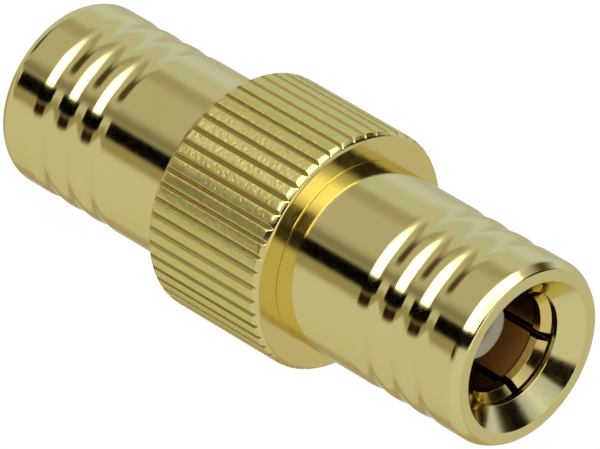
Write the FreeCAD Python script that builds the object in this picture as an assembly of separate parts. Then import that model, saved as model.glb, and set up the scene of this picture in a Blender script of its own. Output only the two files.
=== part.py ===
import FreeCAD, Part

import math
import os

# A double-ended push-on coaxial adapter: two slotted sockets, back to back, on one knurled body.
# Lengths are in millimetres. The axis is +Z and the origin is the centre of the bottom rim, so the
# adapter stands on its lower end. Depths are measured inward from the rim of the half concerned.

# The plain round plug that enters each mouth: the outer barrel of the mating jack
jack_diameter = 3.70
mouth_clearance = 0.10

# Barrel: the polished shell round each socket
barrel_length = 8.00
barrel_wall = 0.75
rim_width = 0.40
rim_chamfer_radial = 0.20
rim_chamfer_axial = 0.33
mouth_taper_angle = 45.0
lip_length = 0.15

# Finger grip: round-bottomed grooves near the open end of each barrel
groove_count = 3
first_groove_depth = 1.90
groove_pitch = 1.11
groove_width = 1.00
groove_sink = 0.09

# Body: the knurled collar with a spigot on each side that carries a barrel
collar_diameter = 8.30
collar_length = 5.00
collar_chamfer = 0.14
knurl_count = 50
knurl_groove_width = 0.20
knurl_groove_sink = 0.12
knurl_turn = 4.7

# Collet: the slotted spring contact that grips the jack
snap_depth = 0.11
finger_relief = 0.05
finger_wall = 0.30
finger_length = 3.47
finger_tip_gap = 0.13
finger_flex_gap = 0.25
finger_tip_lead_in = 0.25
finger_tip_chamfer = 0.12
bead_length = 0.30
slot_count = 6
slot_width = 0.28
slot_root = 0.37
slot_turn = -4.0
collet_floor = 0.40
collet_base_length = 1.40

# Insulator: the white sleeve that carries the centre contact, one for each half
insulator_diameter = 3.00
nose_diameter = 2.00
nose_depth = 2.00
insulator_clearance = 0.02

# Centre contact: one pin with a split socket at each end
contact_diameter = 0.90
contact_setback = 0.10
contact_clearance = 0.01
contact_collar_height = 0.20
contact_collar_length = 1.00
pin_bore_diameter = 0.51
pin_bore_depth = 3.00
pin_bore_lead_in = 0.08
tine_count = 2
tine_slot_width = 0.12
tine_slot_length = 2.20
tine_flex_gap = 0.06

# Places that follow from the sizes above: radii from the inside out
jack_radius = jack_diameter / 2
mouth_radius = jack_radius + mouth_clearance
bead_radius = jack_radius - snap_depth
finger_inner_radius = jack_radius + finger_relief
finger_outer_radius = finger_inner_radius + finger_wall
shell_bore_radius = finger_outer_radius + finger_flex_gap
barrel_radius = shell_bore_radius + barrel_wall
rim_outer_radius = barrel_radius - rim_chamfer_radial
rim_inner_radius = rim_outer_radius - rim_width
collar_radius = collar_diameter / 2
line_radius = insulator_diameter / 2
insulator_radius = line_radius - insulator_clearance
nose_radius = nose_diameter / 2
nose_hole_radius = nose_radius + insulator_clearance
contact_radius = contact_diameter / 2
contact_hole_radius = contact_radius + contact_clearance
contact_collar_radius = contact_radius + contact_collar_height

# Places that follow from the sizes above: depths from the rim, and heights from the foot
total_length = 2 * barrel_length + collar_length
middle = total_length / 2
mouth_depth = (rim_inner_radius - mouth_radius) / math.tan(math.radians(mouth_taper_angle))
lip_depth = mouth_depth + lip_length
fingertip_depth = lip_depth + finger_tip_gap
floor_depth = fingertip_depth + finger_length
shoulder_depth = floor_depth + collet_floor
spigot_depth = floor_depth + collet_base_length
contact_depth = nose_depth + contact_setback
tine_room_depth = contact_depth + tine_slot_length + tine_slot_width

AXIS = FreeCAD.Vector(0, 0, 1)
ORIGIN = FreeCAD.Vector(0, 0, 0)


def at(radius, depth):
    """A point of a section, at a radius and a depth below the upper rim."""
    return FreeCAD.Vector(radius, 0, total_length - depth)


def line_to(edges, start, radius, depth):
    """Add a straight edge to a section and return its far end."""
    end = at(radius, depth)
    edges.append(Part.LineSegment(start, end).toShape())
    return end


def turned(edges):
    """The solid made by turning a closed section about the axis."""
    solid = Part.Face(Part.Wire(edges)).revolve(ORIGIN, AXIS, 360)
    return solid if solid.Volume > 0 else solid.reversed()


def section(points):
    """A closed section through (radius, depth) corners joined by straight edges."""
    edges = []
    last = at(*points[0])
    for radius, depth in points[1:] + points[:1]:
        last = line_to(edges, last, radius, depth)
    return edges


def lower_copy(upper):
    """The same piece turned over for the lower half."""
    return upper.mirror(FreeCAD.Vector(0, 0, middle), AXIS)


def spread(tool, count, turn):
    """Copies of a cutting tool at equal steps round the axis."""
    copies = []
    for step in range(count):
        copy = tool.copy()
        copy.rotate(ORIGIN, AXIS, turn + step * 360.0 / count)
        copies.append(copy)
    return copies


def radial_slot(inner, outer, width, low, high):
    """A saw blade's path: a box that starts at one radius and leaves past another."""
    corner = FreeCAD.Vector(inner, -width / 2, low)
    return Part.makeBox(outer - inner, width, high - low, corner)


def make_barrel():
    """The shell: chamfered rim, tapered mouth, thin lip, plain bore and three grip grooves."""
    edges = []
    last = at(rim_inner_radius, 0)
    last = line_to(edges, last, rim_outer_radius, 0)
    last = line_to(edges, last, barrel_radius, rim_chamfer_axial)
    for number in range(groove_count):
        centre = first_groove_depth + number * groove_pitch
        last = line_to(edges, last, barrel_radius, centre - groove_width / 2)
        end = at(barrel_radius, centre + groove_width / 2)
        curve = Part.BezierCurve()
        curve.setPoles([last, at(barrel_radius - 2 * groove_sink, centre), end])
        edges.append(curve.toShape())
        last = end
    last = line_to(edges, last, barrel_radius, barrel_length)
    last = line_to(edges, last, shell_bore_radius, barrel_length)
    last = line_to(edges, last, shell_bore_radius, lip_depth)
    last = line_to(edges, last, mouth_radius, lip_depth)
    last = line_to(edges, last, mouth_radius, mouth_depth)
    line_to(edges, last, rim_inner_radius, 0)
    return turned(edges)


def knurl_cutter():
    """One vee groove of the straight knurl, as long as the collar and open to the outside."""
    reach = collar_radius * 1.1
    root = collar_radius - knurl_groove_sink
    half_width = knurl_groove_width / 2 * (reach - root) / knurl_groove_sink
    foot = barrel_length
    corners = [(root, 0), (reach, -half_width), (reach, half_width)]
    points = [FreeCAD.Vector(x, y, foot) for x, y in corners]
    face = Part.Face(Part.makePolygon(points + points[:1]))
    return face.extrude(FreeCAD.Vector(0, 0, collar_length))


def make_body():
    """The collar and its two spigots, bored through for the insulators."""
    collar_top = barrel_length
    collar_foot = barrel_length + collar_length
    foot_depth = total_length - spigot_depth
    blank = turned(section([
        (line_radius, spigot_depth),
        (shell_bore_radius, spigot_depth),
        (shell_bore_radius, collar_top),
        (collar_radius - collar_chamfer, collar_top),
        (collar_radius, collar_top + collar_chamfer),
        (collar_radius, collar_foot - collar_chamfer),
        (collar_radius - collar_chamfer, collar_foot),
        (shell_bore_radius, collar_foot),
        (shell_bore_radius, foot_depth),
        (line_radius, foot_depth),
    ]))
    return blank.cut(spread(knurl_cutter(), knurl_count, knurl_turn))


def make_collet():
    """The spring contact: a seated base, a floor with a hole for the nose, and slotted fingers."""
    bead_start = fingertip_depth + finger_tip_lead_in
    bead_end = bead_start + bead_length
    sleeve = turned(section([
        (bead_radius + finger_tip_lead_in, fingertip_depth),
        (finger_outer_radius - finger_tip_chamfer, fingertip_depth),
        (finger_outer_radius, fingertip_depth + finger_tip_chamfer),
        (finger_outer_radius, floor_depth),
        (shell_bore_radius, floor_depth),
        (shell_bore_radius, spigot_depth),
        (line_radius, spigot_depth),
        (line_radius, shoulder_depth),
        (nose_hole_radius, shoulder_depth),
        (nose_hole_radius, floor_depth),
        (finger_inner_radius, floor_depth),
        (finger_inner_radius, bead_end + finger_inner_radius - bead_radius),
        (bead_radius, bead_end),
        (bead_radius, bead_start),
    ]))
    blade = radial_slot(
        nose_radius, barrel_radius, slot_width,
        total_length - floor_depth + slot_root, total_length,
    )
    return sleeve.cut(spread(blade, slot_count, slot_turn))


def make_insulator():
    """Half of the line's insulation: the nose, a shoulder behind the collet floor, and a sleeve."""
    pocket = contact_collar_length / 2 + contact_clearance
    tine_room = contact_radius + tine_flex_gap
    return turned(section([
        (tine_room, nose_depth),
        (nose_radius, nose_depth),
        (nose_radius, shoulder_depth),
        (insulator_radius, shoulder_depth),
        (insulator_radius, middle),
        (contact_collar_radius + contact_clearance, middle),
        (contact_collar_radius + contact_clearance, middle - pocket),
        (contact_hole_radius, middle - pocket),
        (contact_hole_radius, tine_room_depth),
        (tine_room, tine_room_depth),
    ]))


def make_contact():
    """The pin through both halves, with its trapped collar and a split socket at each end."""
    bore = pin_bore_diameter / 2
    half_collar = contact_collar_length / 2
    bore_end = contact_depth + pin_bore_depth
    upper = turned(section([
        (bore + pin_bore_lead_in, contact_depth),
        (contact_radius, contact_depth),
        (contact_radius, middle - half_collar),
        (contact_collar_radius, middle - half_collar),
        (contact_collar_radius, middle),
        (0, middle),
        (0, bore_end),
        (bore, bore_end),
        (bore, contact_depth + pin_bore_lead_in),
    ]))
    blade = radial_slot(
        0, contact_collar_radius, tine_slot_width,
        total_length - contact_depth - tine_slot_length, total_length,
    )
    upper = upper.cut(spread(blade, tine_count, 0.0))
    return upper.fuse(lower_copy(upper)).removeSplitter()


def single(shape, name):
    """The one solid inside a result, checked."""
    solids = shape.Solids
    if len(solids) != 1 or not solids[0].isValid():
        raise ValueError(f"{name} came out as {len(solids)} solids, or is not valid")
    return solids[0]


def main():
    barrel = make_barrel()
    collet = make_collet()
    insulator = make_insulator()
    pieces = {
        "knurled_body": make_body(),
        "upper_barrel": barrel,
        "lower_barrel": lower_copy(barrel),
        "upper_collet": collet,
        "lower_collet": lower_copy(collet),
        "upper_insulator": insulator,
        "lower_insulator": lower_copy(insulator),
        "centre_contact": make_contact(),
    }
    os.makedirs("parts", exist_ok=True)
    for name, shape in pieces.items():
        solid = single(shape, name)
        solid.exportStep(f"parts/{name}.step")
        box = solid.BoundBox
        print(
            f"{name}: {solid.Volume:.2f} mm3, {len(solid.Faces)} faces,"
            f" z {box.ZMin:.2f} to {box.ZMax:.2f}, across {box.XLength:.2f}"
        )


main()
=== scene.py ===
"""Dresses a gold-plated coaxial adapter and sets it in a light tent for its picture.

The fixed frame gives every piece its place and its outer size. Made here is what a close view needs beyond
it: true round walls, broken edges, waved grip grooves, a knurl with rounded lands, slotted spring fingers,
and the finish that each piece got in the workshop. Lengths are in millimetres up to the point where a mesh
is made, and metres from there on. Heights are measured from the foot, depths inward from the upper rim.
"""

import logging
import math
from abc import ABC, abstractmethod
from dataclasses import dataclass, field
from enum import Enum
from typing import ClassVar, Sequence

import bpy
import numpy as np
from mathutils import Matrix, Vector


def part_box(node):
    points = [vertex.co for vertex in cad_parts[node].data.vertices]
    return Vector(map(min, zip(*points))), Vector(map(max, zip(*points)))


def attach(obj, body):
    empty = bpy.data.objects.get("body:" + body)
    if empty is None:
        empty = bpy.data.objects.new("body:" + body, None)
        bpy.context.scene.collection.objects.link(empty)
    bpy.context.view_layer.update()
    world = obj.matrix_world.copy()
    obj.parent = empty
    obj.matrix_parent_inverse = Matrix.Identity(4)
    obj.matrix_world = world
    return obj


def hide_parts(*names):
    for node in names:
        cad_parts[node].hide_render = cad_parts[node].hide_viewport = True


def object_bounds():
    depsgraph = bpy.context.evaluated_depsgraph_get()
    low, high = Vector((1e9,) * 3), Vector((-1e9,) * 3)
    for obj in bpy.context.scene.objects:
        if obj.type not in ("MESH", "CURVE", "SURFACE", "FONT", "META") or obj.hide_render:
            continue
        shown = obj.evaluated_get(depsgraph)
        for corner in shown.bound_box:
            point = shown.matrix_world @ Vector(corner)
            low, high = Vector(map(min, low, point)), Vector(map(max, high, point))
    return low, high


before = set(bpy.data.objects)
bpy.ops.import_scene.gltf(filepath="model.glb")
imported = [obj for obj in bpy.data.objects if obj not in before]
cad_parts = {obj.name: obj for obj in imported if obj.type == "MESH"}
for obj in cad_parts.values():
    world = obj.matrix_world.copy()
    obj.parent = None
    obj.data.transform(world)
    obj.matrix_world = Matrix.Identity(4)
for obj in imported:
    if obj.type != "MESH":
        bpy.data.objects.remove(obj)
cad_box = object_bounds()

log = logging.getLogger("coaxial_adapter")

MILLIMETRE = 0.001
ROOT_BODY = "root"

# Two lengths this near are the same, in millimetres
SAME = 1e-6

# A broken corner of a section gets this many short edges, and at most this share of the side next to it
EDGE_STEPS = 4
EDGE_SHARE = 0.45

SocketValue = bpy.types.NodeSocket | tuple[float, ...] | float


class Slot(Enum):
    """The record's material slots."""

    KNURLED_BRASS = "knurled_brass"
    POLISHED_BRASS = "polished_brass"
    SPRING_CONTACT = "spring_contact"
    PTFE = "ptfe"


class Half(Enum):
    """The two halves of the adapter, which are mirror images in its middle plane."""

    UPPER = "upper"
    LOWER = "lower"


def linear(hex_colour: str) -> tuple[float, float, float, float]:
    """Turn an sRGB hex colour into a linear one.

    Args:
        hex_colour: Six hex digits after a hash sign.

    Returns:
        Linear red, green and blue, and an alpha of 1.
    """
    digits = hex_colour.lstrip("#")
    channels = [int(digits[start:start + 2], 16) / 255 for start in (0, 2, 4)]
    lit = [value / 12.92 if value <= 0.04045 else ((value + 0.055) / 1.055) ** 2.4 for value in channels]
    return (lit[0], lit[1], lit[2], 1.0)


def add_node(
    tree: bpy.types.NodeTree,
    kind: str,
    inputs: dict[str | int, SocketValue] | None = None,
    **settings: object,
) -> bpy.types.Node:
    """Add a node with its settings and links.

    Args:
        tree: The tree that gets the node.
        kind: The node's type name.
        inputs: For each input socket, by name or number, a constant or the socket that feeds it.
        **settings: Properties of the node.

    Returns:
        The new node.
    """
    node = tree.nodes.new(kind)
    for name, value in settings.items():
        setattr(node, name, value)
    for key, value in (inputs or {}).items():
        if isinstance(value, bpy.types.NodeSocket):
            tree.links.new(value, node.inputs[key])
        else:
            node.inputs[key].default_value = value
    return node


def maths(tree: bpy.types.NodeTree, operation: str, *values: SocketValue) -> bpy.types.NodeSocket:
    """The result of a maths node."""
    return add_node(tree, "ShaderNodeMath", dict(enumerate(values)), operation=operation).outputs[0]


def noise(
    tree: bpy.types.NodeTree, point: bpy.types.NodeSocket, size: float, detail: float, roughness: float = 0.5
) -> bpy.types.NodeSocket:
    """Noise with waves of a size in the point's own unit, and with finer ones on them."""
    inputs = {"Vector": point, "Scale": 1 / size, "Detail": detail, "Roughness": roughness}
    return add_node(tree, "ShaderNodeTexNoise", inputs).outputs[0]


def empty_tree(owner: bpy.types.Material | bpy.types.World) -> bpy.types.NodeTree:
    """Switch nodes on and take out the ones that come with them.

    Args:
        owner: The material or world.

    Returns:
        Its empty node tree.
    """
    owner.use_nodes = True
    owner.node_tree.nodes.clear()
    return owner.node_tree


def add_object(name: str, data: bpy.types.Mesh | bpy.types.Camera) -> bpy.types.Object:
    """Make an object and link it to the scene.

    Args:
        name: The object's name.
        data: What it shows.

    Returns:
        The new object.
    """
    made = bpy.data.objects.new(name, data)
    bpy.context.scene.collection.objects.link(made)
    return made


@dataclass(frozen=True)
class Corner:
    """A corner of a turned section, with the radius that its edge is broken to."""

    radius: float
    height: float
    edge: float = 0.02


@dataclass
class Surface:
    """A closed mesh in millimetres: round faces with a normal per point, and flat faces with one each."""

    points: np.ndarray
    normals: np.ndarray
    round_faces: list[tuple[int, ...]]
    flat_faces: list[tuple[tuple[int, ...], tuple[float, float, float]]] = field(default_factory=list)

    def turned_over(self, height: float) -> "Surface":
        """The same surface mirrored in its middle plane.

        Args:
            height: The whole height of the object.

        Returns:
            The mirrored surface, its faces still turned outward.
        """
        points = self.points.copy()
        points[:, 2] = height - points[:, 2]
        normals = self.normals * (1, 1, -1)
        round_faces = [tuple(reversed(face)) for face in self.round_faces]
        flat_faces = [(tuple(reversed(face)), (x, y, -z)) for face, (x, y, z) in self.flat_faces]
        return Surface(points, normals, round_faces, flat_faces)

    def make_object(self, name: str) -> bpy.types.Object:
        """Make the surface an object in metres, shaded by its true normals.

        Args:
            name: The object's name.

        Returns:
            The new object, linked to the scene.
        """
        mesh = bpy.data.meshes.new(name)
        faces = self.round_faces + [face for face, _ in self.flat_faces]
        mesh.from_pydata((self.points * MILLIMETRE).tolist(), [], faces)
        mesh.polygons.foreach_set("use_smooth", [True] * len(faces))
        corner_normals = [self.normals[index].tolist() for face in self.round_faces for index in face]
        corner_normals += [normal for face, normal in self.flat_faces for _ in face]
        mesh.normals_split_custom_set(corner_normals)
        mesh.update()
        return add_object(name, mesh)


def rounded_outline(corners: Sequence[Corner], closed: bool = True) -> np.ndarray:
    """Break the corners of a section, which runs up its outer side.

    Args:
        corners: The section's corners in order. An open section starts and ends beside the axis.
        closed: Whether the last corner joins the first.

    Returns:
        A row for each point: radius, height, and the outward normal's radial and axial parts.
    """
    rows = []
    count = len(corners)
    for index, corner in enumerate(corners):
        if not closed and index in (0, count - 1):
            continue
        here = np.array([corner.radius, corner.height])
        before, after = corners[index - 1], corners[(index + 1) % count]
        arriving = here - (before.radius, before.height)
        leaving = np.array([after.radius, after.height]) - here
        lengths = np.hypot(*arriving), np.hypot(*leaving)
        arriving, leaving = arriving / lengths[0], leaving / lengths[1]
        turn = math.atan2(arriving[0] * leaving[1] - arriving[1] * leaving[0], arriving @ leaving)
        half_turn_tangent = math.tan(abs(turn) / 2)
        cut = min(corner.edge * half_turn_tangent, EDGE_SHARE * min(lengths))
        edge_radius = math.copysign(cut / half_turn_tangent, turn)
        first_normal = math.atan2(-arriving[0], arriving[1])
        centre = here - cut * arriving - edge_radius * np.array([arriving[1], -arriving[0]])
        for step in range(EDGE_STEPS + 1):
            angle = first_normal + turn * step / EDGE_STEPS
            normal = np.array([math.cos(angle), math.sin(angle)])
            rows.append([*(centre + edge_radius * normal), *normal])
    return np.array(rows)


def with_rows(outline: np.ndarray, radius: float, heights: Sequence[float]) -> np.ndarray:
    """Divide the plain stretch of a wall at some heights.

    Args:
        outline: The section's points, as rounded_outline gives them.
        radius: The radius of the wall to divide.
        heights: The heights of the new points, along the section.

    Returns:
        The outline with the new points in place.
    """
    on_wall = np.isclose(outline[:, 0], radius, atol=SAME)
    for index in range(len(outline)):
        following = (index + 1) % len(outline)
        low, high = sorted((outline[index, 1], outline[following, 1]))
        if on_wall[index] and on_wall[following] and low < min(heights) and max(heights) < high:
            new_rows = np.array([[radius, height, *outline[index, 2:]] for height in heights])
            return np.insert(outline, index + 1, new_rows, axis=0)
    raise ValueError(f"no plain wall of radius {radius} takes those heights")


def turned_surface(outline: np.ndarray, segments: int) -> Surface:
    """The closed surface of a section turned about the axis, with so many faces round it."""
    angles = np.linspace(0, 2 * math.pi, segments, endpoint=False)
    return swept_surface(np.repeat(outline[:, None, :], segments, axis=1), angles)


def swept_surface(rows: np.ndarray, angles: np.ndarray) -> Surface:
    """Join rings of points round the axis, one for each point of a closed section.

    Args:
        rows: For each ring and angle: radius, height, and the normal's radial, axial and, where it has
            a fifth value, tangential part.
        angles: The angle of each column, in radians.

    Returns:
        The closed surface.
    """
    rings, columns = rows.shape[:2]
    cosine, sine = np.cos(angles)[None, :], np.sin(angles)[None, :]
    sideways = rows[..., 4] if rows.shape[2] > 4 else np.zeros((rings, columns))
    points = np.stack([rows[..., 0] * cosine, rows[..., 0] * sine, rows[..., 1]], axis=-1)
    normals = np.stack([
        rows[..., 2] * cosine - sideways * sine,
        rows[..., 2] * sine + sideways * cosine,
        rows[..., 3],
    ], axis=-1)
    normals /= np.linalg.norm(normals, axis=-1, keepdims=True)
    ring, column = np.meshgrid(np.arange(rings), np.arange(columns), indexing="ij")
    next_ring, next_column = (ring + 1) % rings, (column + 1) % columns
    faces = np.stack([
        ring * columns + column,
        ring * columns + next_column,
        next_ring * columns + next_column,
        next_ring * columns + column,
    ], axis=-1)
    round_faces = [tuple(face) for face in faces.reshape(-1, 4).tolist()]
    return Surface(points.reshape(-1, 3), normals.reshape(-1, 3), round_faces)


@dataclass(frozen=True)
class SlotPlan:
    """Saw cuts with parallel sides that split the end of a sleeve into fingers."""

    count: int
    width: float
    turn: float
    roots: tuple[float, ...]
    finger_segments: int = 20

    def angle(self, radius: float, number: int, share: float | None) -> float:
        """The angle of a point of a finger or of a slot's middle.

        Args:
            radius: The point's distance from the axis.
            number: The finger's number.
            share: From 0 to 1 across the finger, or None for the middle of the slot that follows it.

        Returns:
            The angle in radians.
        """
        pitch = 2 * math.pi / self.count
        start = math.radians(self.turn) + number * pitch
        if share is None:
            return start + pitch
        side = math.asin(self.width / 2 / radius)
        return start + side + share * (pitch - 2 * side)


def slotted_surface(outline: np.ndarray, plan: SlotPlan, closed: bool = True) -> Surface:
    """Turn a section about the axis and saw slots into its ends.

    Args:
        outline: The section's points, with one at each slot root's height on both walls.
        plan: The slots.
        closed: Whether the section is a ring's. An open one starts on a flat end at the axis that faces
            down and ends on one that faces up.

    Returns:
        The closed surface.
    """
    runs = []
    for root in plan.roots:
        ends = np.flatnonzero(np.isclose(outline[:, 1], root, atol=SAME))
        runs.append((int(ends[0]), int(ends[-1])))
    rings = len(outline)
    shares = [step / plan.finger_segments for step in range(plan.finger_segments + 1)]
    columns = [(number, share) for number in range(plan.count) for share in [*shares, None]]
    inside_run = [any(first < ring < last for first, last in runs) for ring in range(rings)]
    points, normals = [], []
    place: dict[tuple[int, int], int] = {}
    for ring, (radius, height, out, up) in enumerate(outline):
        for column, (number, share) in enumerate(columns):
            if share is None and inside_run[ring]:
                continue
            angle = plan.angle(radius, number, share)
            place[ring, column] = len(points)
            points.append([radius * math.cos(angle), radius * math.sin(angle), height])
            normals.append([out * math.cos(angle), out * math.sin(angle), up])
    round_faces, flat_faces = [], []
    for ring in range(rings if closed else rings - 1):
        following = (ring + 1) % rings
        for column in range(len(columns)):
            beside = (column + 1) % len(columns)
            keys = [(ring, column), (ring, beside), (following, beside), (following, column)]
            in_one_run = any(first <= ring < last for first, last in runs)
            if in_one_run and None in (columns[column][1], columns[beside][1]):
                continue
            round_faces.append(tuple(place[key] for key in keys))
    for first, last in runs:
        floor_up = 1.0 if outline[first, 0] > outline[last, 0] else -1.0
        for column, (number, share) in enumerate(columns):
            beside = (column + 1) % len(columns)
            if None in (share, columns[beside][1]):
                keys = [(first, column), (first, beside), (last, beside), (last, column)]
                flat_faces.append((tuple(place[key] for key in keys), (0.0, 0.0, floor_up)))
            if share not in (0.0, 1.0):
                continue
            side = tuple(place[ring, column] for ring in range(first, last + 1))
            slot_angle = plan.angle(1.0, number - 1 if share == 0.0 else number, None)
            facing = -1.0 if share == 0.0 else 1.0
            normal = (-facing * math.sin(slot_angle), facing * math.cos(slot_angle), 0.0)
            flat_faces.append((side if share == 0.0 else tuple(reversed(side)), normal))
    if not closed:
        foot, top = (tuple(place[ring, column] for column in range(len(columns))) for ring in (0, rings - 1))
        flat_faces.append((tuple(reversed(foot)), (0.0, 0.0, -1.0)))
        flat_faces.append((top, (0.0, 0.0, 1.0)))
    return Surface(np.array(points), np.array(normals), round_faces, flat_faces)


@dataclass(frozen=True)
class Finish(ABC):
    """A turned surface as its maker left it, drawn in the object's own coordinates.

    The tool leaves marks round the axis, and the tint varies between two shades.
    """

    name: str
    colour: str
    shade: str
    mark_spacing: float
    mark_height: float

    # How much a mark changes for each millimetre across the piece, and how strong its finer waves are
    MARK_DRIFT: ClassVar[float] = 0.0
    MARK_ROUGHNESS: ClassVar[float] = 0.5

    @abstractmethod
    def shader(
        self, tree: bpy.types.NodeTree, point: bpy.types.NodeSocket, marked: bpy.types.NodeSocket
    ) -> bpy.types.Node:
        """The surface's shader, from a point in millimetres and a normal with the tool's marks."""

    def tint(self, tree: bpy.types.NodeTree, share: bpy.types.NodeSocket) -> bpy.types.NodeSocket:
        """The surface's two shades, mixed by a share from 0 to 1."""
        colours = {"Factor": share, "A": linear(self.colour), "B": linear(self.shade)}
        return add_node(tree, "ShaderNodeMix", colours, data_type="RGBA").outputs[2]

    def material(self) -> bpy.types.Material:
        """Make the node material, with the marks that a tool leaves at one radius and height.

        Returns:
            The material.
        """
        material = bpy.data.materials.new(self.name)
        tree = empty_tree(material)
        own = add_node(tree, "ShaderNodeTexCoord").outputs["Object"]
        scaled = add_node(tree, "ShaderNodeVectorMath", {0: own, "Scale": 1 / MILLIMETRE}, operation="SCALE")
        point = scaled.outputs[0]
        across, along, height = add_node(tree, "ShaderNodeSeparateXYZ", {0: point}).outputs
        flat = add_node(tree, "ShaderNodeCombineXYZ", {0: across, 1: along})
        radius = add_node(tree, "ShaderNodeVectorMath", {0: flat.outputs[0]}, operation="LENGTH")
        drift = maths(tree, "MULTIPLY", across, self.MARK_DRIFT * self.mark_spacing)
        track = add_node(tree, "ShaderNodeCombineXYZ", {0: radius.outputs["Value"], 1: height, 2: drift})
        marks = noise(tree, track.outputs[0], self.mark_spacing, 2.0, self.MARK_ROUGHNESS)
        marked = add_node(tree, "ShaderNodeBump", {
            "Height": marks, "Distance": self.mark_height * MILLIMETRE,
        })
        shader = self.shader(tree, point, marked.outputs[0])
        add_node(tree, "ShaderNodeOutputMaterial", {"Surface": shader.outputs[0]})
        return material


@dataclass(frozen=True)
class PlatedMetal(Finish):
    """A copper alloy under a few microns of gold, as its surface was made before plating.

    The tint drifts slowly, because the plating's thickness does. Tumbling or the knurling wheel leaves a
    fine grain.
    """

    roughness: float
    roughness_spread: float
    grain_size: float
    grain_height: float
    edge_tint: str = "#EFE8CC"
    patch_size: float = 2.86

    MARK_DRIFT: ClassVar[float] = 0.25
    MARK_ROUGHNESS: ClassVar[float] = 0.6

    # The grain's noise keeps between these values nearly everywhere
    GRAIN_LOW: ClassVar[float] = 0.3
    GRAIN_HIGH: ClassVar[float] = 0.7

    def shader(
        self, tree: bpy.types.NodeTree, point: bpy.types.NodeSocket, marked: bpy.types.NodeSocket
    ) -> bpy.types.Node:
        """Add the nodes of the plated surface.

        Args:
            tree: The material's node tree.
            point: The point in millimetres.
            marked: The normal with the tool's marks.

        Returns:
            The shader.
        """
        grain = noise(tree, point, self.grain_size, 3.0, 0.55)
        rough = add_node(tree, "ShaderNodeMapRange", {
            "Value": grain,
            "From Min": self.GRAIN_LOW,
            "From Max": self.GRAIN_HIGH,
            "To Min": self.roughness - self.roughness_spread,
            "To Max": self.roughness + self.roughness_spread,
        })
        grained = add_node(tree, "ShaderNodeBump", {
            "Height": grain, "Distance": self.grain_height * MILLIMETRE, "Normal": marked,
        })
        return add_node(tree, "ShaderNodeBsdfPrincipled", {
            "Base Color": self.tint(tree, noise(tree, point, self.patch_size, 2.0)),
            "Metallic": 1.0,
            "Specular Tint": linear(self.edge_tint),
            "Roughness": rough.outputs[0],
            "Normal": grained.outputs[0],
        })


@dataclass(frozen=True)
class MachinedPtfe(Finish):
    """White PTFE turned from bar: waxy, slightly translucent, with soft rings from the tool."""

    cloud_size: float = 0.667
    roughness: float = 0.42
    ior: float = 1.35
    depth: float = 1.0
    reach: tuple[float, float, float] = (1.0, 0.95, 0.9)

    def shader(
        self, tree: bpy.types.NodeTree, point: bpy.types.NodeSocket, marked: bpy.types.NodeSocket
    ) -> bpy.types.Node:
        """Add the nodes of the turned PTFE.

        Args:
            tree: The material's node tree.
            point: The point in millimetres.
            marked: The normal with the tool's marks.

        Returns:
            The shader.
        """
        return add_node(tree, "ShaderNodeBsdfPrincipled", {
            "Base Color": self.tint(tree, noise(tree, point, self.cloud_size, 3.0)),
            "Roughness": self.roughness,
            "IOR": self.ior,
            "Subsurface Weight": 1.0,
            "Subsurface Radius": self.reach,
            "Subsurface Scale": self.depth * MILLIMETRE,
            "Normal": marked,
        })


# Turned, then tumbled to a polish before plating, so it mirrors the studio with only a trace of tool marks.
# The plating is a pale, slightly green hard gold.
POLISHED_BARREL = PlatedMetal(
    name="hard_gold_over_polished_brass",
    colour="#F2E59F", shade="#EEDF94",
    roughness=0.10, roughness_spread=0.02,
    mark_spacing=0.09, mark_height=0.0006,
    grain_size=0.35, grain_height=0.0005,
)

# The taper of the mouth is left as turned, so its fine rings smear the studio's reflection outward.
TURNED_MOUTH = PlatedMetal(
    name="hard_gold_over_turned_brass",
    colour="#F2E39B", shade="#EBDC90",
    roughness=0.12, roughness_spread=0.03,
    mark_spacing=0.05, mark_height=0.0015,
    grain_size=0.2, grain_height=0.0006,
)

# The knurling wheel presses the lands and drags the flanks, which leaves them satin with bright specks.
# Its grain is about 0.02 mm on the real collar, and is drawn seven times as coarse so that it shows.
KNURLED_COLLAR = PlatedMetal(
    name="hard_gold_over_knurled_brass",
    colour="#F0E48F", shade="#E9DA82",
    roughness=0.33, roughness_spread=0.05,
    mark_spacing=0.25, mark_height=0.001,
    grain_size=0.13, grain_height=0.018,
)

# The collar's ends are faced off with a fine feed and left with their rings. Their gold is the deepest.
FACED_COLLAR = PlatedMetal(
    name="hard_gold_over_faced_brass",
    colour="#F3E093", shade="#EED887",
    roughness=0.15, roughness_spread=0.03,
    mark_spacing=0.07, mark_height=0.003,
    grain_size=0.35, grain_height=0.0005,
)

# The bottom of each knurl groove is drawn rougher, and darker as painted shade in the crease.
KNURL_GROOVE_SHADE = PlatedMetal(
    name="knurl_groove_painted_shade",
    colour="#C0AD66", shade="#B09C53",
    roughness=0.45, roughness_spread=0.05,
    mark_spacing=0.25, mark_height=0.001,
    grain_size=0.12, grain_height=0.001,
)

# Beryllium copper, slotted and hardened before plating, keeps a deeper and yellower gold.
SPRING_GOLD = PlatedMetal(
    name="soft_gold_over_beryllium_copper",
    colour="#F3D987", shade="#EBCB6F",
    roughness=0.12, roughness_spread=0.03,
    mark_spacing=0.06, mark_height=0.001,
    grain_size=0.12, grain_height=0.001,
)

# The fingers' bore is drawn a redder gold than their outside, as a painted shade tone deep in the bore.
COLLET_BORE_SHADE = PlatedMetal(
    name="collet_bore_painted_shade",
    colour="#FACB80", shade="#F3BE70",
    roughness=0.22, roughness_spread=0.01,
    mark_spacing=0.08, mark_height=0.0008,
    grain_size=0.12, grain_height=0.0002,
)
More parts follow.
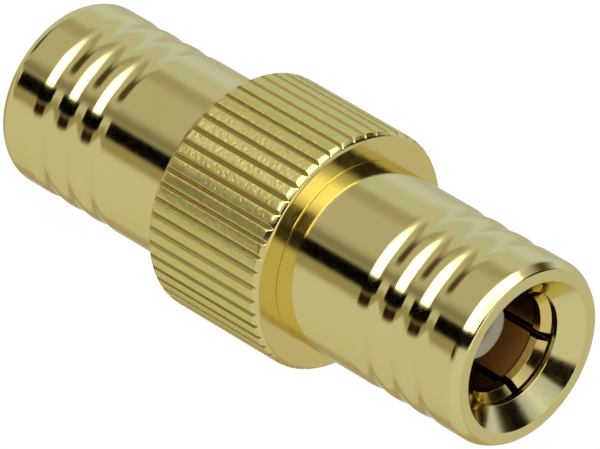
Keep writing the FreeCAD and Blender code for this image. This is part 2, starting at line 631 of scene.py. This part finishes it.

# The floor behind the fingers is painted dark brown, as painted shade deep in the bore.
COLLET_FLOOR_SHADE = PlatedMetal(
    name="collet_floor_painted_shade",
    colour="#4A2212", shade="#3A1A0E",
    roughness=0.50, roughness_spread=0.05,
    mark_spacing=0.08, mark_height=0.001,
    grain_size=0.12, grain_height=0.001,
)

# Turned PTFE is a clean white, and light reaches about a millimetre into it.
TURNED_PTFE = MachinedPtfe(
    name="ptfe_turned", colour="#FBFAF6", shade="#F6F4ED", mark_spacing=0.12, mark_height=0.004
)

# The nose's end is faced off last, with a finer feed. It is painted darker and yellower than the rest, as
# painted shade and painted gold light from the mouth round it.
FACED_SHADED_PTFE = MachinedPtfe(
    name="ptfe_faced_painted_shade", colour="#E6DEC2", shade="#DAD0B0", mark_spacing=0.08, mark_height=0.004
)


class Piece(ABC):
    """One piece of the adapter, which stands for a node of the fixed frame."""

    node: str
    slot: Slot
    finishes: tuple[Finish, ...]

    @abstractmethod
    def surface(self) -> Surface:
        """The piece's closed surface, in millimetres."""

    def finish_number(self, radius: float, height: float, up: float) -> int:
        """Which of the piece's finishes a face wears.

        Args:
            radius: The distance of the face's middle from the axis.
            height: The height of the face's middle.
            up: The vertical part of the face's normal.

        Returns:
            The finish's number.
        """
        return 0

    def build(self) -> bpy.types.Object:
        """Make the piece, dress it and put it on the frame.

        Returns:
            The finished object.
        """
        surface = self.surface()
        piece = surface.make_object(f"{self.node}_turned")
        for finish in self.finishes:
            piece.data.materials.append(bpy.data.materials.get(finish.name) or finish.material())
        for face in piece.data.polygons:
            x, y, z = face.center / MILLIMETRE
            face.material_index = self.finish_number(math.hypot(x, y), z, face.normal.z)
        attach(piece, ROOT_BODY)
        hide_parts(self.node)
        log.info("%s: %d points, %d finishes", piece.name, len(surface.points), len(self.finishes))
        return piece


def node_box(node: str) -> tuple[np.ndarray, np.ndarray]:
    """A frame node's lowest and highest corner, in millimetres."""
    low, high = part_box(node)
    return np.array(low) / MILLIMETRE, np.array(high) / MILLIMETRE


@dataclass
class EndPiece(Piece):
    """A piece that the adapter has twice: made for the upper end, and turned over for the lower one."""

    half: Half
    kind: ClassVar[str]

    def __post_init__(self) -> None:
        """Take the name, the place and the outer size from the frame."""
        self.node = f"{self.half.value}_{self.kind}"
        low, high = node_box(f"{Half.UPPER.value}_{self.kind}")
        self.radius, self.foot, self.tip = high[0], low[2], high[2]
        self.rim = node_box(f"{Half.UPPER.value}_barrel")[1][2]

    @abstractmethod
    def upper_surface(self) -> Surface:
        """The upper piece's closed surface, in millimetres."""

    def surface(self) -> Surface:
        """The closed surface of the piece at its own end, in millimetres."""
        upper = self.upper_surface()
        return upper if self.half is Half.UPPER else upper.turned_over(self.rim)


@dataclass
class Barrel(EndPiece):
    """The polished shell round a socket: chamfered rim, tapered mouth, lip, bore and grip grooves."""

    kind: ClassVar[str] = "barrel"
    slot: Slot = Slot.POLISHED_BRASS
    finishes: tuple[Finish, ...] = (POLISHED_BARREL, TURNED_MOUTH)
    rim_chamfer_radial: float = 0.20
    rim_chamfer_axial: float = 0.33
    rim_width: float = 0.40
    mouth_radius: float = 1.95
    mouth_depth: float = 0.65
    lip_length: float = 0.15
    bore_radius: float = 2.45
    groove_count: int = 3
    first_groove_depth: float = 1.90
    groove_pitch: float = 1.11
    groove_width: float = 1.06
    groove_sink: float = 0.075
    rows_per_groove: int = 28
    edge: float = 0.04
    rim_edge: float = 0.13
    chamfer_edge: float = 0.50
    segments: int = 256

    def finish_number(self, radius: float, height: float, up: float) -> int:
        """The taper of the mouth keeps the marks of its tool. The rest is polished."""
        rim_inner = self.radius - self.rim_chamfer_radial - self.rim_width
        return int(min(self.rim - height, height) < self.mouth_depth and radius < rim_inner)

    def relief(self, height: float) -> tuple[float, float]:
        """The grip grooves, which run into each other as waves.

        Args:
            height: A height on the outer wall.

        Returns:
            How far the wall lies below its full radius there, and how fast that grows upward.
        """
        depth = self.rim - height
        for number in range(self.groove_count):
            offset = depth - self.first_groove_depth - number * self.groove_pitch
            if abs(offset) < self.groove_width / 2:
                phase = 2 * math.pi * offset / self.groove_width
                sink = self.groove_sink / 2 * (1 + math.cos(phase))
                slope = self.groove_sink * math.pi / self.groove_width * math.sin(phase)
                return sink, slope
        return 0.0, 0.0

    def upper_surface(self) -> Surface:
        """Turn the upper shell.

        Returns:
            Its closed surface, in millimetres.
        """
        rim_outer = self.radius - self.rim_chamfer_radial
        rim_inner = rim_outer - self.rim_width
        lip = self.rim - self.mouth_depth
        outline = rounded_outline([
            Corner(self.radius, self.foot, self.edge),
            Corner(self.radius, self.rim - self.rim_chamfer_axial, self.chamfer_edge),
            Corner(rim_outer, self.rim, self.rim_edge),
            Corner(rim_inner, self.rim, self.edge),
            Corner(self.mouth_radius, lip, self.edge),
            Corner(self.mouth_radius, lip - self.lip_length, self.edge / 2),
            Corner(self.bore_radius, lip - self.lip_length),
            Corner(self.bore_radius, self.foot),
        ])
        first = self.rim - self.first_groove_depth + self.groove_width / 2
        span = (self.groove_count - 1) * self.groove_pitch + self.groove_width
        heights = np.linspace(first - span, first, self.groove_count * self.rows_per_groove)
        outline = with_rows(outline, self.radius, heights)
        for row in outline:
            if row[0] >= self.radius - SAME:
                sink, slope = self.relief(row[1])
                row[0] -= sink
                if sink > 0:
                    row[2:] = np.array([1, slope]) / math.hypot(1, slope)
        return turned_surface(outline, self.segments)


@dataclass
class KnurledBody(Piece):
    """The collar with its straight knurl, and the two spigots that carry the barrels."""

    node: str = "knurled_body"
    slot: Slot = Slot.KNURLED_BRASS
    finishes: tuple[Finish, ...] = (KNURLED_COLLAR, FACED_COLLAR, KNURL_GROOVE_SHADE)
    chamfer: float = 0.14
    chamfer_length: float = 0.20
    spigot_radius: float = 2.45
    bore_radius: float = 1.50
    knurl_count: int = 50
    knurl_turn: float = 4.7
    groove_half_width: float = 0.062
    groove_sink: float = 0.10
    tip_rounding: float = 0.02
    chamfer_rows: int = 8
    tip_edge: float = 0.21
    # A face lies in a groove if it is deeper than the first, and on an end if it is tilted past the second
    land_depth: float = 0.03
    level_up: float = 0.3
    # Both parts of a chamfer's normal are above this
    least_slant: float = 0.1
    # Where each tooth has its columns, as shares of the groove's half width
    column_shares: tuple[float, ...] = (0.25, 0.5, 0.75, 1.0, 1.3, 1.7, 2.3)

    def __post_init__(self) -> None:
        """Take the place and the outer size from the frame. The collar lies between the barrels."""
        low, high = node_box(self.node)
        self.radius, self.foot, self.top = high[0], low[2], high[2]
        self.collar_foot = node_box(f"{Half.LOWER.value}_barrel")[1][2]
        self.collar_top = node_box(f"{Half.UPPER.value}_barrel")[0][2]
        self.pitch = 2 * math.pi * self.radius / self.knurl_count

    def finish_number(self, radius: float, height: float, up: float) -> int:
        """The collar's ends and the spigots are bright. Its lands are satin, and its grooves dull and
        painted darker as shade.
        """
        bright = radius < self.radius - self.chamfer or abs(up) > self.level_up
        return 1 if bright else 2 * int(radius < self.radius - self.land_depth)

    def columns(self) -> np.ndarray:
        """The distances from a groove's middle at which each tooth has a column, in millimetres."""
        near = np.array(self.column_shares) * self.groove_half_width
        return np.concatenate([[0.0], near, [self.pitch / 2], self.pitch - near[::-1]])

    def knurl(self, distance: np.ndarray) -> tuple[np.ndarray, np.ndarray]:
        """The knurl's round section without the chamfers.

        Args:
            distance: Distance along the circumference from the middle of the nearest groove.

        Returns:
            The radius there and its slope along the circumference.
        """
        share = distance / self.groove_half_width
        sink = self.groove_sink * np.exp(-share ** 2)
        slope = 2 * share / self.groove_half_width * sink
        return self.radius - sink, slope

    def surface(self) -> Surface:
        """Turn the body and knurl its collar.

        Returns:
            Its closed surface, in millimetres.
        """
        face_radius = self.radius - self.chamfer
        outline = rounded_outline([
            Corner(self.bore_radius, self.foot),
            Corner(self.spigot_radius, self.foot),
            Corner(self.spigot_radius, self.collar_foot),
            Corner(face_radius, self.collar_foot, self.tip_edge),
            Corner(self.radius, self.collar_foot + self.chamfer_length, self.tip_edge),
            Corner(self.radius, self.collar_top - self.chamfer_length, self.tip_edge),
            Corner(face_radius, self.collar_top, self.tip_edge),
            Corner(self.spigot_radius, self.collar_top),
            Corner(self.spigot_radius, self.top),
            Corner(self.bore_radius, self.top),
        ])
        outline = self.divided_chamfers(outline)
        distances = np.tile(self.columns(), self.knurl_count)
        tooth = np.repeat(np.arange(self.knurl_count), len(self.columns()))
        angles = math.radians(self.knurl_turn) + (tooth * self.pitch + distances) / self.radius
        distances = np.where(distances > self.pitch / 2, distances - self.pitch, distances)
        knurl_radius, knurl_slope = self.knurl(distances)
        plain = outline[:, None, 0]
        apart = plain - knurl_radius[None, :]
        spread = np.sqrt(apart ** 2 + self.tip_rounding ** 2)
        radius = (plain + knurl_radius[None, :] - spread) / 2
        follows_plain = (1 - apart / spread) / 2
        follows_knurl = (1 + apart / spread) / 2
        out = np.broadcast_to(outline[:, None, 2], radius.shape)
        rows = np.stack([
            radius,
            np.broadcast_to(outline[:, None, 1], radius.shape),
            out,
            follows_plain * outline[:, None, 3],
            -follows_knurl * knurl_slope[None, :] * out,
        ], axis=-1)
        return swept_surface(rows, angles)

    def divided_chamfers(self, outline: np.ndarray) -> np.ndarray:
        """Divide the collar's two chamfers, so that the grooves run out over them cleanly.

        Args:
            outline: The section's points.

        Returns:
            The outline with more points on the chamfers.
        """
        rows = []
        for index, row in enumerate(outline):
            rows.append(row)
            following = outline[(index + 1) % len(outline)]
            if np.abs(row[2:]).min() > self.least_slant and np.allclose(row[2:], following[2:]):
                for step in range(1, self.chamfer_rows):
                    rows.append(row + (following - row) * step / self.chamfer_rows)
        return np.array(rows)


@dataclass
class Collet(EndPiece):
    """The spring contact: a seated base, a floor with a hole for the nose, and six slotted fingers."""

    kind: ClassVar[str] = "collet"
    slot: Slot = Slot.SPRING_CONTACT
    finishes: tuple[Finish, ...] = (SPRING_GOLD, COLLET_BORE_SHADE, COLLET_FLOOR_SHADE)
    base_radius: float = 2.45
    base_length: float = 1.40
    floor: float = 0.40
    line_radius: float = 1.50
    hole_radius: float = 1.02
    outer_radius: float = 2.20
    inner_radius: float = 1.90
    bead_radius: float = 1.74
    bead_length: float = 0.30
    tip_lead_in: float = 0.25
    tip_chamfer: float = 0.12
    slot_count: int = 6
    slot_width: float = 0.28
    slot_root: float = 0.37
    slot_turn: float = -4.0
    edge: float = 0.03
    # The depths from the tip at which the painted shade begins, redder on the bore and dark on the floor,
    # both within the outer wall's skin
    painted_shade_depths: tuple[float, float] = (0.55, 2.70)
    skin: float = 0.01

    def finish_number(self, radius: float, height: float, up: float) -> int:
        """The bore behind the beads is painted a redder shade than the finger tips, and its floor a dark
        painted shade.
        """
        depth = self.tip - max(height, self.rim - height)
        return int(radius < self.outer_radius - self.skin) * sum(int(depth > end) for end in self.painted_shade_depths)

    def upper_surface(self) -> Surface:
        """Turn the upper collet and saw its slots.

        Returns:
            Its closed surface, in millimetres.
        """
        floor_top = self.foot + self.base_length
        bead_top = self.tip - self.tip_lead_in
        bead_foot = bead_top - self.bead_length
        ramp = self.inner_radius - self.bead_radius
        outline = rounded_outline([
            Corner(self.line_radius, self.foot),
            Corner(self.base_radius, self.foot),
            Corner(self.base_radius, floor_top, self.edge),
            Corner(self.outer_radius, floor_top),
            Corner(self.outer_radius, self.tip - self.tip_chamfer, self.edge),
            Corner(self.outer_radius - self.tip_chamfer, self.tip, self.edge),
            Corner(self.bead_radius + self.tip_lead_in, self.tip, self.edge),
            Corner(self.bead_radius, bead_top, self.edge),
            Corner(self.bead_radius, bead_foot, self.edge),
            Corner(self.inner_radius, bead_foot - ramp, self.edge),
            Corner(self.inner_radius, floor_top),
            Corner(self.hole_radius, floor_top),
            Corner(self.hole_radius, floor_top - self.floor),
            Corner(self.line_radius, floor_top - self.floor),
        ])
        root = floor_top + self.slot_root
        outline = with_rows(outline, self.outer_radius, [root])
        outline = with_rows(outline, self.inner_radius, [self.tip - self.painted_shade_depths[1], root])
        return slotted_surface(outline, SlotPlan(self.slot_count, self.slot_width, self.slot_turn, (root,)))


@dataclass
class Insulator(EndPiece):
    """Half of the line's insulation: the nose, a shoulder behind the collet's floor, and a sleeve."""

    kind: ClassVar[str] = "insulator"
    slot: Slot = Slot.PTFE
    finishes: tuple[Finish, ...] = (TURNED_PTFE, FACED_SHADED_PTFE)
    sleeve_radius: float = 1.48
    nose_radius: float = 1.00
    nose_length: float = 2.80
    tine_room_radius: float = 0.51
    tine_room_length: float = 2.42
    hole_radius: float = 0.46
    pocket_radius: float = 0.66
    pocket_length: float = 0.51
    nose_edge: float = 0.09
    room_edge: float = 0.03
    # The faced end of the nose, also painted darker and yellower as shade, reaches this deep and faces at
    # least this far up
    faced_shaded_depth: float = 0.20
    faced_shaded_up: float = 0.5
    segments: int = 128

    def finish_number(self, radius: float, height: float, up: float) -> int:
        """Only the end of the nose is faced off, and painted darker and yellower as shade."""
        depth = self.tip - max(height, self.rim - height)
        return int(abs(up) > self.faced_shaded_up and depth < self.faced_shaded_depth)

    def upper_surface(self) -> Surface:
        """Turn the upper insulator.

        Returns:
            Its closed surface, in millimetres.
        """
        shoulder = self.tip - self.nose_length
        room_foot = self.tip - self.tine_room_length
        pocket_top = self.foot + self.pocket_length
        outline = rounded_outline([
            Corner(self.pocket_radius, self.foot),
            Corner(self.sleeve_radius, self.foot),
            Corner(self.sleeve_radius, shoulder),
            Corner(self.nose_radius, shoulder),
            Corner(self.nose_radius, self.tip, self.nose_edge),
            Corner(self.tine_room_radius, self.tip, self.room_edge),
            Corner(self.tine_room_radius, room_foot),
            Corner(self.hole_radius, room_foot),
            Corner(self.hole_radius, pocket_top),
            Corner(self.pocket_radius, pocket_top),
        ])
        return turned_surface(outline, self.segments)


@dataclass
class CentreContact(Piece):
    """The pin through both halves, with its trapped collar and a split socket at each end."""

    node: str = "centre_contact"
    slot: Slot = Slot.SPRING_CONTACT
    finishes: tuple[Finish, ...] = (SPRING_GOLD,)
    radius: float = 0.45
    collar_radius: float = 0.65
    collar_length: float = 1.00
    bore_radius: float = 0.255
    bore_depth: float = 3.00
    bore_lead_in: float = 0.08
    tine_count: int = 2
    tine_slot_width: float = 0.12
    tine_slot_length: float = 2.20
    tine_segments: int = 24
    edge: float = 0.02

    def __post_init__(self) -> None:
        """Take the place from the frame."""
        low, high = node_box(self.node)
        self.foot, self.tip = low[2], high[2]

    def surface(self) -> Surface:
        """Turn the pin and saw the slots of its two sockets.

        Returns:
            Its closed surface, in millimetres.
        """
        middle = (self.foot + self.tip) / 2
        half_collar = self.collar_length / 2
        mouth = self.bore_radius + self.bore_lead_in
        low_end, high_end = self.foot + self.bore_depth, self.tip - self.bore_depth
        outline = rounded_outline([
            Corner(0.0, low_end),
            Corner(self.bore_radius, low_end),
            Corner(self.bore_radius, self.foot + self.bore_lead_in, self.edge),
            Corner(mouth, self.foot, self.edge),
            Corner(self.radius, self.foot, self.edge),
            Corner(self.radius, middle - half_collar),
            Corner(self.collar_radius, middle - half_collar),
            Corner(self.collar_radius, middle + half_collar),
            Corner(self.radius, middle + half_collar),
            Corner(self.radius, self.tip, self.edge),
            Corner(mouth, self.tip, self.edge),
            Corner(self.bore_radius, self.tip - self.bore_lead_in, self.edge),
            Corner(self.bore_radius, high_end),
            Corner(0.0, high_end),
        ], closed=False)
        roots = (self.foot + self.tine_slot_length, self.tip - self.tine_slot_length)
        for radius in (self.bore_radius, self.radius):
            for root in roots:
                outline = with_rows(outline, radius, [root])
        plan = SlotPlan(self.tine_count, self.tine_slot_width, 0.0, roots, self.tine_segments)
        return slotted_surface(outline, plan, closed=False)


@dataclass(frozen=True)
class Card:
    """A wall, window or dark flag of the light tent, as the directions that it fills.

    Azimuth is counted from -Y towards +X and elevation up from the horizon, in degrees. The slant is how
    far the card climbs for each degree of azimuth.
    """

    name: str
    azimuth: float
    half_width: float
    low: float
    high: float
    shade: str
    soft: float
    strength: float = 1.0
    slant: float = 0.0


@dataclass
class LightTent:
    """Plain soft studio light: a pale tent with one bright window and some dark flags."""

    wall: str = "#C6C6C4"
    cards: tuple[Card, ...] = (
        Card("cool_left_wall", -112, 36, -95, 95, "#C4C9D0", soft=10),
        Card("blue_back_wall", -155, 40, -95, 20, "#C7CCD9", soft=14),
        Card("cool_back_edge", -124, 16, -95, 20, "#CEDAFF", soft=22),
        Card("warm_right_wall", 82, 52, -95, 95, "#CDCECC", soft=10),
        Card("upper_right_wall", 85, 60, 5, 70, "#D1D4DA", soft=20),
        Card("dim_right_corner", 147, 12, -95, 40, "#B8B0A2", soft=14),
        Card("board_below_window", -41, 33, -95, -22, "#BAB7B2", soft=12),
        Card("board_left_edge", -68, 9, -95, -22, "#A9A498", soft=12),
        Card("board_right_edge", 0, 8, -95, -22, "#888375", soft=14),
        Card("low_shade", -43, 21, -78, -52, "#4C4220", soft=14),
        Card("window_corner", -12, 20, -22, 30, "#F4F8FF", soft=8, strength=3.3),
        Card("window", -52, 22, -15, 14, "#F4F8FF", soft=12, strength=3.3, slant=-0.30),
        Card("window_upper", -43, 26, 0, 30, "#F4F8FF", soft=12, strength=3.3),
        Card("window_top", -54, 36, 26, 62, "#BCC8E2", soft=12),
        Card("window_glow", -44, 20, 24, 43, "#F0F4FF", soft=24, strength=1.8),
        Card("wide_flag", 6, 23, 29, 72, "#180B07", soft=9),
        Card("flag_shade", 33, 9, -95, 5, "#9C9579", soft=10),
        Card("narrow_flag", 17.5, 10, -46, 34, "#040302", soft=6),
        Card("side_spot", 35, 7, -28, -8, "#2A0A04", soft=8),
        Card("left_flag", -106, 22, 16, 46, "#120704", soft=14),
        Card("left_flag_foot", -104, 11, -10, 20, "#52481F", soft=20),
        Card("top_light", 0, 190, 76, 95, "#FFFFFF", soft=8, strength=1.2),
    )

    def build(self) -> bpy.types.World:
        """Make the tent the scene's world, and let the camera see plain white.

        Returns:
            The new world.
        """
        world = bpy.data.worlds.new("light_tent")
        tree = empty_tree(world)
        direction = add_node(tree, "ShaderNodeTexCoord").outputs["Generated"]
        right, away, rise = add_node(tree, "ShaderNodeSeparateXYZ", {0: direction}).outputs
        azimuth = maths(tree, "ARCTAN2", right, maths(tree, "MULTIPLY", away, -1.0))
        elevation = maths(tree, "ARCSINE", rise)
        colour: SocketValue = linear(self.wall)
        for card in self.cards:
            colour = self.laid_over(tree, card, azimuth, elevation, colour)
        tent = add_node(tree, "ShaderNodeBackground", {"Color": colour, "Strength": 1.0})
        white = add_node(tree, "ShaderNodeBackground", {"Color": (1.0, 1.0, 1.0, 1.0), "Strength": 1.0})
        rays = add_node(tree, "ShaderNodeLightPath")
        seen = add_node(tree, "ShaderNodeMixShader", {
            0: rays.outputs["Is Camera Ray"], 1: tent.outputs[0], 2: white.outputs[0],
        })
        add_node(tree, "ShaderNodeOutputWorld", {"Surface": seen.outputs[0]})
        bpy.context.scene.world = world
        return world

    @staticmethod
    def laid_over(
        tree: bpy.types.NodeTree,
        card: Card,
        azimuth: bpy.types.NodeSocket,
        elevation: bpy.types.NodeSocket,
        behind: SocketValue,
    ) -> bpy.types.NodeSocket:
        """Lay one card over what is behind it.

        Args:
            tree: The world's node tree.
            card: The card.
            azimuth: The direction's azimuth, in radians.
            elevation: The direction's elevation, in radians.
            behind: The colour behind the card.

        Returns:
            The colour with the card.
        """
        turn = maths(tree, "SUBTRACT", azimuth, math.radians(card.azimuth))
        aside = maths(tree, "WRAP", turn, math.pi, -math.pi)
        middle = maths(tree, "MULTIPLY_ADD", aside, card.slant, math.radians((card.low + card.high) / 2))
        above = maths(tree, "SUBTRACT", elevation, middle)
        shares = []
        for distance, half in ((aside, card.half_width), (above, (card.high - card.low) / 2)):
            share = add_node(tree, "ShaderNodeMapRange", {
                "Value": maths(tree, "ABSOLUTE", distance),
                "From Min": math.radians(half + card.soft / 2),
                "From Max": math.radians(half - card.soft / 2),
            }, interpolation_type="SMOOTHSTEP")
            shares.append(share.outputs[0])
        lit = (*(channel * card.strength for channel in linear(card.shade)[:3]), 1.0)
        mixed = {"Factor": maths(tree, "MULTIPLY", *shares), "A": behind, "B": lit}
        return add_node(tree, "ShaderNodeMix", mixed, data_type="RGBA").outputs[2]


@dataclass
class WhiteSheet:
    """The pale floor: white to the camera, but for the adapter's soft shadow. Its size is in metres."""

    half_side: float = 1.5
    paper: str = "#F4F4F2"
    glow: float = 0.86
    glow_strength: float = 1.08

    def build(self) -> bpy.types.Object:
        """Make the floor.

        Returns:
            The floor.
        """
        side = self.half_side
        corners = [(-side, -side, 0), (side, -side, 0), (side, side, 0), (-side, side, 0)]
        mesh = bpy.data.meshes.new("white_sheet")
        mesh.from_pydata(corners, [], [(0, 1, 2, 3)])
        sheet = add_object("white_sheet", mesh)
        material = bpy.data.materials.new("white_paper")
        tree = empty_tree(material)
        rays = add_node(tree, "ShaderNodeLightPath")
        paper = add_node(tree, "ShaderNodeBsdfDiffuse", {"Color": linear(self.paper)})
        glow = add_node(tree, "ShaderNodeEmission", {"Color": (1, 1, 1, 1), "Strength": self.glow_strength})
        share = maths(tree, "MULTIPLY", rays.outputs["Is Camera Ray"], self.glow)
        seen = add_node(tree, "ShaderNodeMixShader", {0: share, 1: paper.outputs[0], 2: glow.outputs[0]})
        add_node(tree, "ShaderNodeOutputMaterial", {"Surface": seen.outputs[0]})
        mesh.materials.append(material)
        # The metal mirrors the tent, whose walls go on below the sheet, as if it were held up in it
        sheet.visible_glossy = False
        return sheet


@dataclass
class PictureCamera:
    """A long lens that looks down on the adapter from in front, rolled so that its foot is up on the left.

    Lengths are in millimetres and angles in degrees, apart from the clipping distances in metres.
    """

    lens: float = 563.5
    elevation: float = 36.75
    roll: float = 120.36
    distance: float = 298.6
    aside: float = 0.171
    above: float = -0.115
    clip: tuple[float, float] = (0.01, 20.0)

    def build(self, target: Vector) -> bpy.types.Object:
        """Make the camera and look through it.

        Args:
            target: The middle of the object, in millimetres.

        Returns:
            The camera.
        """
        slope = math.radians(self.elevation)
        level = Vector((1, 0, 0))
        rising = Vector((0, math.sin(slope), math.cos(slope)))
        back = Vector((0, -math.cos(slope), math.sin(slope)))
        turn = math.radians(self.roll)
        right = math.cos(turn) * level + math.sin(turn) * rising
        up = -math.sin(turn) * level + math.cos(turn) * rising
        place = target + self.aside * right + self.above * up + self.distance * back
        data = bpy.data.cameras.new("picture_camera")
        data.lens = self.lens
        data.clip_start, data.clip_end = self.clip
        camera = add_object("picture_camera", data)
        turned = Matrix((right, up, back)).transposed().to_4x4()
        camera.matrix_world = Matrix.Translation(place * MILLIMETRE) @ turned
        bpy.context.scene.camera = camera
        return camera


def main() -> None:
    """Build the pieces in order, then the studio."""
    logging.basicConfig(level=logging.INFO, format="%(name)s: %(message)s")
    pieces: list[Piece] = [KnurledBody()]
    for half in Half:
        pieces += [Barrel(half), Collet(half), Insulator(half)]
    pieces.append(CentreContact())
    for piece in pieces:
        piece.build()
    low, high = (Vector(corner) for corner in cad_box)
    PictureCamera().build((low + high) / 2 / MILLIMETRE)
    LightTent().build()
    WhiteSheet().build()
    bpy.context.scene.view_settings.view_transform = "Standard"


if __name__ == "__main__":
    main()
